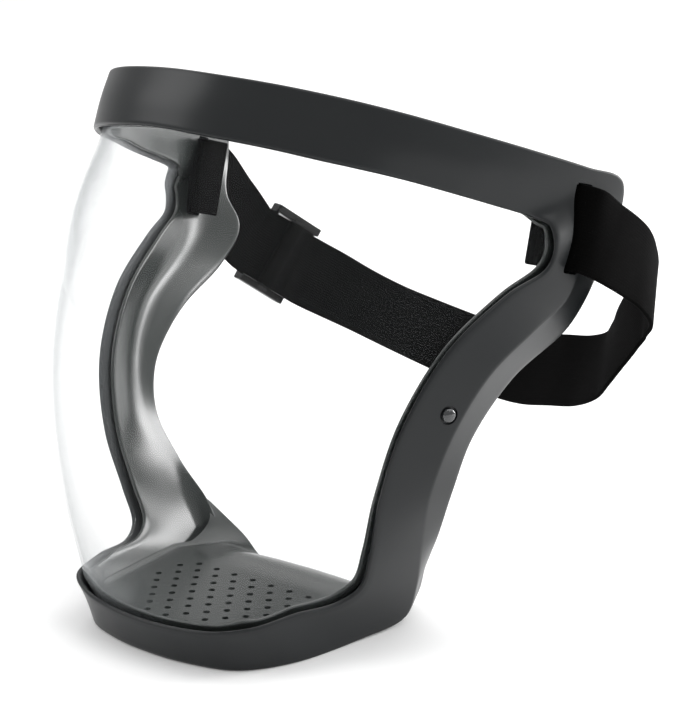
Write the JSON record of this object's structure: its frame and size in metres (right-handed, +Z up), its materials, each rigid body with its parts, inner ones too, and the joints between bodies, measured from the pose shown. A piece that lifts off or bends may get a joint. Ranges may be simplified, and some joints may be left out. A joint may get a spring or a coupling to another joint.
{
  "type": "face shield",
  "caption": "Full-face shield: moulded frame around a doubly curved clear visor, vented chin tray and an elastic head strap with a slider.",
  "frame": {"origin": "centre of the bounding box's base: on the floor under the chin cup's rim, midway between the visor and the back of the strap", "axes": "+Z up, the wearer faces -Y, +X is the wearer's left"},
  "size_m": [0.2186, 0.2326, 0.2008],
  "materials": {
    "frame_plastic": "satin dark grey moulded plastic",
    "liner_plastic": "satin grey moulded plastic",
    "visor_clear": "clear polycarbonate sheet, gloss",
    "rivet_clear": "clear moulded plastic, gloss",
    "webbing": "black woven elastic",
    "slider_plastic": "black moulded plastic"
  },
  "bodies": {
    "shield": {"outer_frame": "frame_plastic", "inner_frame": "liner_plastic", "visor": "visor_clear", "chin_tray": "liner_plastic", "rivet_left": "rivet_clear", "rivet_right": "rivet_clear", "strap_stop_left": "webbing", "strap_stop_right": "webbing"},
    "strap": {"strap": "webbing"},
    "slider": {"slider": "slider_plastic"}
  },
  "joints": [
    {"name": "strap_swing", "type": "hinge", "parent": "shield", "child": "strap", "pos_m": [0, 0.0191, 0.1432], "axis": [1, 0, 0], "range_deg": [-6, 6]},
    {"name": "slider_slide", "type": "slide", "parent": "strap", "child": "slider", "axis": [-0.2811, -0.7822, 0.5561], "range_m": [-0.0035, 0.0035]}
  ]
}
